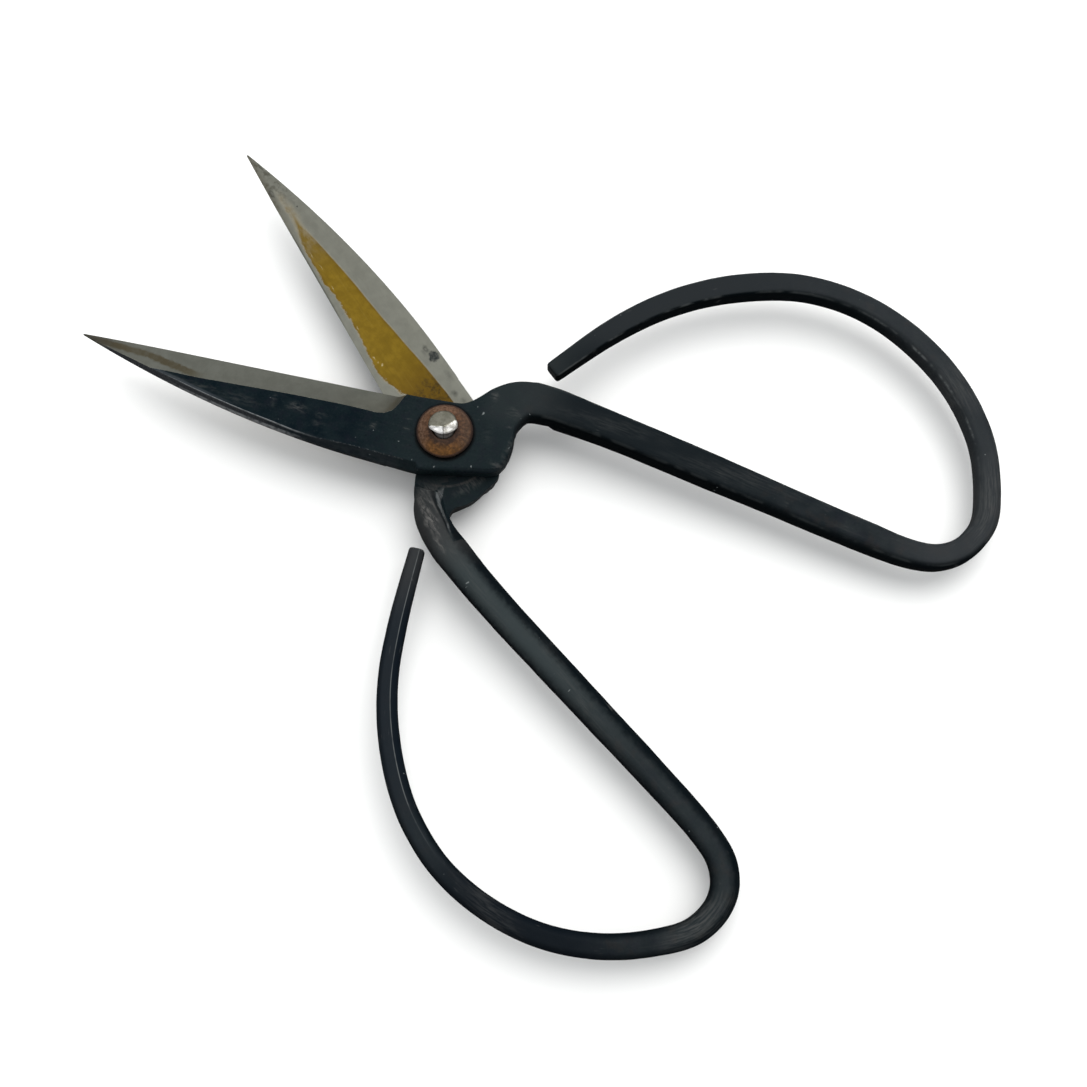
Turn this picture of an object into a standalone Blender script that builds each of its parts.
"""Forged big-bow fabric shears, 200 mm long when closed, standing open.

Two forged halves turn on one peened rivet, between two domed washers. The
scene is in metres, +Z up, and the sizes below are in millimetres. The origin
is the centre of the rivet's rear head, on the pivot axis. +Z runs along the
rivet towards the front face, and +X splits the angle between the two blades,
towards the tips.

Each half is designed in its own plane: x from the pivot to the blade tip, y
towards the cutting edge, and z outward from the plane where the halves meet.
Its sections are lists of (t, z), t from the spine side (0) to the edge side (1).
"""

import math

import bmesh
import bpy
from mathutils import Vector

MM = 0.001

# Blades
TIP_X = 84.0  # pivot to tip
HEEL_X = 12.2  # where the ground bevel starts, beside the boss
HEEL_EDGE_Y = 6.1
EDGE_SLOPE = 0.0775  # fall of the cutting edge per mm towards the tip
EDGE_DROP_X = 62.0  # from here the edge curves away a little more
EDGE_DROP = 0.25  # the extra fall at the tip
SPINE_Y = -9.8
SPINE_BEND_X = 18.0  # the spine is straight up to here
SPINE_RISE = 0.00402
SPINE_POWER = 1.86
MIN_BLADE_W = 0.7
PLATE_T = 4.0  # outer face of boss and heel, above the meeting plane
TIP_T = 1.1  # outer face at the tip
EDGE_T = 0.30  # thickness left at the cutting edge
HOLLOW = 0.40  # depth of the ground hollow in the inner face
LAND_W = 1.6  # flat strip on each side of the hollow
BEVEL_W = 5.7  # width of the ground bevel on the outer face
SPINE_CHAMFER = (1.5, 1.9)  # width across and height
TIP_SETBACKS = (0.0, 0.8, 2.2, 4.5)  # close sections behind the tip
BLADE_SETBACK = 8.0  # even sections run from here to the heel
BLADE_STEPS = 17

# Pivot
OPEN_EACH = 19.5  # degrees each half stands open from the closed line
CLEAR = 0.15  # each half's inner face to the meeting plane
GAP = 0.3  # between pieces that rest on each other
RIVET_R = 2.2
HOLE_R = RIVET_R + 0.25
CUTTER_Z = 9.0  # reach of the hole cutter each way from the meeting plane
HEAD_R = 3.0
HEAD_H = 1.6
WASHER_R = 6.0
WASHER_HOLE_R = 2.55
WASHER_H = 2.4
WASHER_T = 1.2
WASHER_RIM_H = 0.85  # where the dome starts on the upper side
WASHER_Z = PLATE_T + GAP  # washer rim, from the meeting plane
SHEAR_Z = HEAD_H + GAP + WASHER_H + WASHER_Z  # meeting plane over the rear rivet face

# Neck and handle rod
ROD_DEPTH = 0.94  # rod depth over its width
ROD_ROUNDING = 2.25  # superellipse power of the section: 2 is an ellipse
NECK_W = 7.9  # rod width where it leaves the neck
RAISE_R = (11.9, 13.3)  # radii where the rod starts and ends rising past the meeting plane
SHOULDER_W = 1.4  # width of the rise from the flat lug to the rod
SHOULDER_MAX_T = 0.93  # the shoulder stays at least this far inside the edge side
RISE_MAX_T = 0.97
PATH_STEP = 5.5  # longest spacing of bow sections, about
PATH_TURN = 0.24  # radians of bend per bow section, about
FREE_END_CHAMFER = 0.7
FREE_END_SIZE = 0.62  # end face over the full section

# Bow paths, hand bent, so the two halves differ: centre x, y and rod width
FRONT_BOW = (
    (-21.0, 13.2, 7.8), (-35.0, 11.8, 7.0), (-62.0, 8.3, 6.8), (-88.5, 4.7, 6.4),
    (-101.5, 3.5, 5.8), (-108.5, 5.2, 5.4), (-113.0, 10.0, 5.1), (-114.6, 17.2, 5.2),
    (-111.0, 31.0, 5.3), (-103.0, 42.5, 5.4), (-91.8, 51.0, 5.4), (-78.7, 56.0, 5.3),
    (-64.7, 56.5, 5.3), (-51.0, 52.3, 5.2), (-38.6, 45.0, 5.0), (-28.0, 35.0, 4.7),
    (-17.8, 21.6, 4.0),
)  # fmt: skip
REAR_BOW = (
    (-20.5, 13.0, 7.5), (-35.5, 11.7, 7.0), (-61.5, 8.0, 6.6), (-86.5, 4.3, 6.1),
    (-98.5, 3.0, 5.8), (-105.2, 3.8, 5.7), (-109.8, 7.4, 5.5), (-111.7, 13.2, 5.3),
    (-110.7, 19.5, 5.1), (-105.2, 30.3, 4.9), (-97.0, 39.5, 4.8), (-86.6, 46.0, 4.7),
    (-74.8, 49.6, 4.5), (-62.3, 49.5, 4.4), (-50.2, 45.9, 4.3), (-38.9, 39.7, 4.1),
    (-29.1, 31.2, 3.9), (-17.7, 19.0, 3.3),
)  # fmt: skip
REAR_NECK_TRIM = 0.7  # the rear half's neck is forged this much slimmer outside

# Boss, lug and neck: facing (x, y) points of the cutting-edge side and the spine side
BOSS_RIBS = (
    ((10.4, 6.1), (10.4, -9.7)),
    ((7.0, 6.4), (7.0, -9.7)),
    ((3.6, 6.8), (3.6, -9.6)),
    ((1.0, 7.1), (0.2, -8.8)),
    ((-1.6, 7.6), (-4.2, -7.7)),
    ((-3.4, 8.9), (-8.6, -6.5)),
    ((-4.9, 10.7), (-12.9, -5.2)),
    ((-6.7, 13.0), (-14.4, -2.2)),
    ((-9.2, 15.1), (-14.6, 1.6)),
    ((-12.3, 16.5), (-14.6, 5.4)),
    ((-16.2, 17.2), (-16.2, 8.5)),
)
HEEL_RIBS = 2  # the first ribs keep the blade's hollow and spine chamfer
ROD_BLEND_RIB = 3  # the last rib with the plain plate section
NECK_RIB = 9  # from here the inner face is rounded across its whole width
BOSS_CHAMFER = 0.5

FACE_POINTS = 9  # section points on the outer face, and on the inner
RING = 2 * FACE_POINTS + 2  # with one more on each side


def mix(start, end, share):
    return start + (end - start) * share


def ease(share):
    share = min(1.0, max(0.0, share))
    return share * share * (3.0 - 2.0 * share)


def across(spine_side, edge_side, t):
    """The (x, y) at t on the line between the two sides."""
    return mix(spine_side[0], edge_side[0], t), mix(spine_side[1], edge_side[1], t)


# Section lines


def edge_y(x):
    """The cutting edge's y."""
    drop = max(0.0, (x - EDGE_DROP_X) / (TIP_X - EDGE_DROP_X)) ** 2
    return HEEL_EDGE_Y - EDGE_SLOPE * (x - HEEL_X) - EDGE_DROP * drop


def spine_y(x):
    """The blade spine's y."""
    y = SPINE_Y
    if x > SPINE_BEND_X:
        y += SPINE_RISE * (x - SPINE_BEND_X) ** SPINE_POWER
    return min(y, edge_y(x) - MIN_BLADE_W)


def shoulder_y(x):
    """The y of the shoulder where the rod rises from the lug, on the inner face."""
    return 10.4 - 0.042 * (x + 14.5) ** 2


def raised(x, y):
    """0 on the flat lug, 1 where the full rod crosses the meeting plane."""
    if x >= 0.0:
        return 0.0
    outward = ease((math.hypot(x, y) - RAISE_R[0]) / (RAISE_R[1] - RAISE_R[0]))
    return outward * ease((y - shoulder_y(x)) / SHOULDER_W + 0.5)


def plate_outer(width, top, bevel, edge, chamfer):
    """Outer face of blade or boss. bevel is the t where the ground bevel starts,
    and edge the height left at t = 1."""
    chamfer_t = min(chamfer[0], width * 0.3) / width
    chamfer_h = min(chamfer[1], (top - CLEAR) * 0.6)
    face = [(0.0, top - chamfer_h), (chamfer_t, top)]
    face += [(mix(chamfer_t, bevel, k), top) for k in (0.25, 0.5, 0.75, 1.0)]
    face += [(mix(bevel, 1.0, k), mix(top, edge, k)) for k in (0.34, 0.67, 1.0)]
    return face


def plate_inner(width, hollow):
    """Inner face of blade or heel, ground hollow between two flat lands."""
    land = min(LAND_W / width, 0.22)
    steps = FACE_POINTS - 3
    face = [(0.0, CLEAR)]
    for k in range(steps + 1):
        share = k / steps
        z = CLEAR + hollow * math.sin(math.pi * share)
        face.append((mix(land, 1.0 - land, share), z))
    face.append((1.0, CLEAR))
    return face


def lug_inner(spine_side, edge_side, at_neck):
    """Inner face of lug and neck: points bunch at the shoulder, and those past it rise."""
    width = math.dist(spine_side, edge_side)
    samples = [k / 40.0 for k in range(41)]
    high = [t for t in samples if raised(*across(spine_side, edge_side, t)) > 0.5]
    shoulder = min([*high, SHOULDER_MAX_T])
    half_rise = SHOULDER_W / 2.0 / width
    flat = [mix(0.0, shoulder - half_rise, k / 3.0) for k in range(4)]
    rise_start = min(shoulder + half_rise, RISE_MAX_T)
    rise = [mix(rise_start, 1.0, k / 4.0) for k in range(5)]
    face = []
    for i, t in enumerate(flat + rise):
        share = raised(*across(spine_side, edge_side, t))
        if i < len(flat) and not at_neck:
            share = 0.0
        off_centre = 2.0 * t - 1.0
        off_centre = min(1.0, abs(off_centre) if at_neck else max(0.0, off_centre))
        rod_z = -ROD_DEPTH * NECK_W / 2.0 * (1.0 - off_centre**2.5) ** 0.4
        face.append((t, mix(CLEAR, rod_z, share)))
    return face


def rod_section(width):
    """Outer and inner face of the rounded rod section."""
    outer, inner = [], []
    power = 2.0 / ROD_ROUNDING
    for k in range(FACE_POINTS):
        angle = math.pi - math.pi * (k + 1) / (FACE_POINTS + 1)
        cosine = math.cos(angle)
        t = 0.5 + 0.5 * math.copysign(abs(cosine) ** power, cosine)
        z = abs(math.sin(angle)) ** power * (ROD_DEPTH * width) / 2.0
        outer.append((t, z))
        inner.append((t, -z))
    return outer, inner


def ring_points(spine_side, edge_side, outer, inner):
    """3D ring: along the outer face, the edge side, back along the inner face."""
    edge_mid = (1.0, (outer[-1][1] + inner[-1][1]) / 2.0)
    spine_mid = (0.0, (outer[0][1] + inner[0][1]) / 2.0)
    return [
        Vector((*across(spine_side, edge_side, t), z))
        for t, z in [spine_mid, *outer, edge_mid, *reversed(inner)]
    ]


# Rings of one half


def blade_rings():
    """Blade, from the tip back to the heel."""
    stations = [TIP_X - setback for setback in TIP_SETBACKS]
    stations += [
        mix(TIP_X - BLADE_SETBACK, HEEL_X, k / BLADE_STEPS) for k in range(BLADE_STEPS + 1)
    ]
    rings = []
    for x in stations:
        edge, spine = edge_y(x), spine_y(x)
        width = edge - spine
        far = (x - HEEL_X) / (TIP_X - HEEL_X)
        top = mix(PLATE_T, TIP_T, ease(far) * 0.35 + far * 0.65)
        bevel = 1.0 - min(BEVEL_W / width, 0.6)
        hollow = HOLLOW * min(1.0, width / 9.0) * ease((width - 1.0) / 3.0)
        chamfer = [mix(size, 0.25 * size, ease(far)) for size in SPINE_CHAMFER]
        outer = plate_outer(width, top, bevel, CLEAR + EDGE_T, chamfer)
        rings.append(ring_points((x, spine), (x, edge), outer, plate_inner(width, hollow)))
    return rings


def boss_rings(trim):
    """Boss, lug and neck, the plate section blending into the rod."""
    rod_outer, _ = rod_section(NECK_W)
    rings = []
    for k, (edge_side, spine_side) in enumerate(BOSS_RIBS):
        at_neck = k >= NECK_RIB
        slim = trim * ease((k - 4.0) / 3.0)
        edge_side = (edge_side[0] - 0.3 * slim, edge_side[1] - slim)
        if at_neck:
            spine_side = (spine_side[0], spine_side[1] + 0.8 * trim)
        width = math.dist(spine_side, edge_side)

        chamfer = SPINE_CHAMFER if k < HEEL_RIBS else (BOSS_CHAMFER, BOSS_CHAMFER)
        bevel, edge = 0.93, PLATE_T - BOSS_CHAMFER
        if k == 0:  # the ground bevel runs out here
            bevel, edge = 0.62, mix(CLEAR + EDGE_T, PLATE_T, 0.86)
        plate = plate_outer(width, PLATE_T, bevel, edge, chamfer)
        blend = ease((k - ROD_BLEND_RIB) / (len(BOSS_RIBS) - 1 - ROD_BLEND_RIB))
        outer = [
            (mix(flat[0], rod[0], blend), mix(flat[1], rod[1], blend))
            for flat, rod in zip(plate, rod_outer)
        ]
        if k < HEEL_RIBS:
            inner = plate_inner(width, HOLLOW * (1.0 - k / HEEL_RIBS))
        else:
            inner = lug_inner(spine_side, edge_side, at_neck)
        rings.append(ring_points(spine_side, edge_side, outer, inner))
    return rings


def heading(start, end):
    return math.atan2(end[1] - start[1], end[0] - start[0])


def spline(points):
    """Catmull-Rom points through the given tuples, spaced about PATH_STEP in plan
    and closer where the path bends."""
    path = []
    for i in range(len(points) - 1):
        before, start, end = points[max(i - 1, 0)], points[i], points[i + 1]
        after = points[min(i + 2, len(points) - 1)]
        turn = 0.0
        if before != start and end != after:
            turn = abs(heading(before, start) - heading(end, after))
        turn = min(turn, 2.0 * math.pi - turn)
        spans = round(math.dist(start[:2], end[:2]) / PATH_STEP)
        count = max(1, spans, round(turn / PATH_TURN))
        for k in range(count):
            f = k / count
            path.append(
                tuple(
                    0.5
                    * (
                        2 * b
                        + (c - a) * f
                        + (2 * a - 5 * b + 4 * c - d) * f * f
                        + (3 * b - a - 3 * c + d) * f**3
                    )
                    for a, b, c, d in zip(before, start, end, after)
                )
            )
    path.append(tuple(points[-1]))
    return path


def bow_rings(bow):
    """Handle bar and bow, round to the chamfered free end."""
    path = spline(bow)
    last = len(path) - 1
    rings = []
    for i, (x, y, rod_width) in enumerate(path):
        before, after = path[max(i - 1, 0)], path[min(i + 1, last)]
        along = Vector((after[0] - before[0], after[1] - before[1])).normalized()
        # (distance back along the path, size of the section)
        sections = [(0.0, 1.0)]
        if i == last:
            sections = [(FREE_END_CHAMFER, 1.0), (0.0, FREE_END_SIZE)]
        for back, size in sections:
            width = rod_width * size
            centre_x, centre_y = x - along.x * back, y - along.y * back
            side_x, side_y = along.y * width / 2.0, -along.x * width / 2.0
            spine_side = (centre_x - side_x, centre_y - side_y)
            edge_side = (centre_x + side_x, centre_y + side_y)
            rings.append(ring_points(spine_side, edge_side, *rod_section(width)))
    return rings


# Meshes


def finish_mesh(name, bm):
    bmesh.ops.recalc_face_normals(bm, faces=bm.faces[:])
    mesh = bpy.data.meshes.new(name)
    bm.to_mesh(mesh)
    bm.free()
    return mesh


def half_mesh(name, bow, trim=0.0, y_sign=1.0, z_sign=1.0):
    """One closed body through all rings of a half, from tip to free end."""
    bm = bmesh.new()
    rows = [
        [bm.verts.new((p.x * MM, p.y * MM * y_sign, p.z * MM * z_sign)) for p in ring]
        for ring in blade_rings() + boss_rings(trim) + bow_rings(bow)
    ]
    for row, after in zip(rows, rows[1:]):
        for k in range(RING):
            m = (k + 1) % RING
            bm.faces.new((row[k], row[m], after[m], after[k]))
    bmesh.ops.triangulate(bm, faces=bm.faces[:])
    for row in (rows[0], rows[-1]):
        middle = bm.verts.new(sum((v.co for v in row), Vector()) / RING)
        for k in range(RING):
            bm.faces.new((row[k], row[(k + 1) % RING], middle))
    return finish_mesh(name, bm)


def turned_mesh(name, profile, steps):
    """Solid of revolution about Z from a closed (r, z) loop."""
    bm = bmesh.new()
    rows = []
    for k in range(steps):
        angle = 2.0 * math.pi * k / steps
        cosine, sine = math.cos(angle), math.sin(angle)
        rows.append([bm.verts.new((r * MM * cosine, r * MM * sine, z * MM)) for r, z in profile])
    for k in range(steps):
        row, after = rows[k], rows[(k + 1) % steps]
        for i in range(len(profile)):
            j = (i + 1) % len(profile)
            if profile[i][0] > 0.0 or profile[j][0] > 0.0:
                bm.faces.new((row[i], after[i], after[j], row[j]))
    # Points on the axis are one per step until merged
    bmesh.ops.remove_doubles(bm, verts=bm.verts[:], dist=1e-7)
    return finish_mesh(name, bm)


def washer_mesh(name, z_sign):
    """Domed sheet washer. Its rim stands GAP over the boss, at z = 0 of the piece."""
    steps = 5
    top, under = [], []
    for k in range(steps + 1):
        share = k / steps
        dome = math.sin(share * math.pi / 2.0) ** 0.9
        top_r = mix(WASHER_R - 0.25, WASHER_HOLE_R, share)
        under_r = mix(WASHER_R - 0.8, WASHER_HOLE_R, share)
        top.append((top_r, mix(WASHER_RIM_H, WASHER_H, dome)))
        under.append((under_r, mix(0.0, WASHER_H - WASHER_T, dome)))
    rim = [(WASHER_R - 0.15, 0.0), (WASHER_R, 0.15), (WASHER_R, 0.55)]
    profile = [(r, z * z_sign) for r, z in rim + top + under[::-1]]
    return turned_mesh(name, profile, 36)


def rivet_mesh(name):
    """Shank with two peened heads, from the rear face at z = 0."""
    rear = [
        (0.0, 0.0), (1.9, 0.0), (2.55, 0.22), (HEAD_R, 0.85),
        (HEAD_R, HEAD_H - 0.25), (HEAD_R - 0.2, HEAD_H), (RIVET_R, HEAD_H),
    ]  # fmt: skip
    front = [(r, 2.0 * SHEAR_Z - z) for r, z in reversed(rear)]
    return turned_mesh(name, rear + front, 32)


# Scene


def material(name, color, roughness, metallic):
    mat = bpy.data.materials.new(name)
    mat.use_nodes = True
    shader = mat.node_tree.nodes["Principled BSDF"]
    shader.inputs["Base Color"].default_value = (*color, 1.0)
    shader.inputs["Roughness"].default_value = roughness
    shader.inputs["Metallic"].default_value = metallic
    return mat


def add_object(name, mesh, z):
    obj = bpy.data.objects.new(name, mesh)
    obj.location = (0.0, 0.0, z * MM)
    bpy.context.scene.collection.objects.link(obj)
    return obj


def add_piece(mesh, mat, z=0.0, turn=0.0):
    """Object named after its mesh, turned by degrees about the pivot axis."""
    mesh.materials.append(mat)
    mesh.shade_smooth()
    mesh.set_sharp_from_angle(angle=math.radians(38.0))
    obj = add_object(mesh.name, mesh, z)
    obj.rotation_euler = (0.0, 0.0, math.radians(turn))
    return obj


def add_cutter():
    """Hidden cylinder that cuts the pivot hole."""
    name = "pivot_hole_cutter"
    profile = [(0.0, -CUTTER_Z), (HOLE_R, -CUTTER_Z), (HOLE_R, CUTTER_Z), (0.0, CUTTER_Z)]
    cutter = add_object(name, turned_mesh(name, profile, 40), SHEAR_Z)
    cutter.hide_render = True
    cutter.display_type = "WIRE"
    return cutter


def add_halves():
    """Both halves with the pivot hole. The front one hangs on the pivot axis."""
    axis = add_object("pivot_axis", None, SHEAR_Z)
    cutter = add_cutter()
    black = material("forged_black", (0.018, 0.021, 0.026), roughness=0.42, metallic=0.55)
    black_rear = material(
        "forged_black_rear", (0.020, 0.022, 0.027), roughness=0.45, metallic=0.55
    )
    front_mesh = half_mesh("front_blade_half", FRONT_BOW, y_sign=-1.0)
    front = add_piece(front_mesh, black, turn=OPEN_EACH)
    front.parent = axis
    rear_mesh = half_mesh("rear_blade_half", REAR_BOW, trim=REAR_NECK_TRIM, z_sign=-1.0)
    rear = add_piece(rear_mesh, black_rear, z=SHEAR_Z, turn=-OPEN_EACH)
    for half in (front, rear):
        cut = half.modifiers.new("pivot_hole", "BOOLEAN")
        cut.operation = "DIFFERENCE"
        cut.solver = "EXACT"
        cut.object = cutter


def add_washers():
    rust = material("rusty_washer", (0.20, 0.085, 0.035), roughness=0.62, metallic=0.60)
    rust_rear = material("rusty_washer_rear", (0.19, 0.08, 0.035), roughness=0.65, metallic=0.60)
    add_piece(washer_mesh("front_dome_washer", 1.0), rust, z=SHEAR_Z + WASHER_Z)
    add_piece(washer_mesh("rear_dome_washer", -1.0), rust_rear, z=SHEAR_Z - WASHER_Z)


def add_rivet():
    steel = material("peened_steel", (0.55, 0.54, 0.51), roughness=0.30, metallic=1.0)
    add_piece(rivet_mesh("pivot_rivet"), steel)


def main():
    for old in list(bpy.data.objects):
        bpy.data.objects.remove(old, do_unlink=True)
    add_halves()
    add_washers()
    add_rivet()


main()
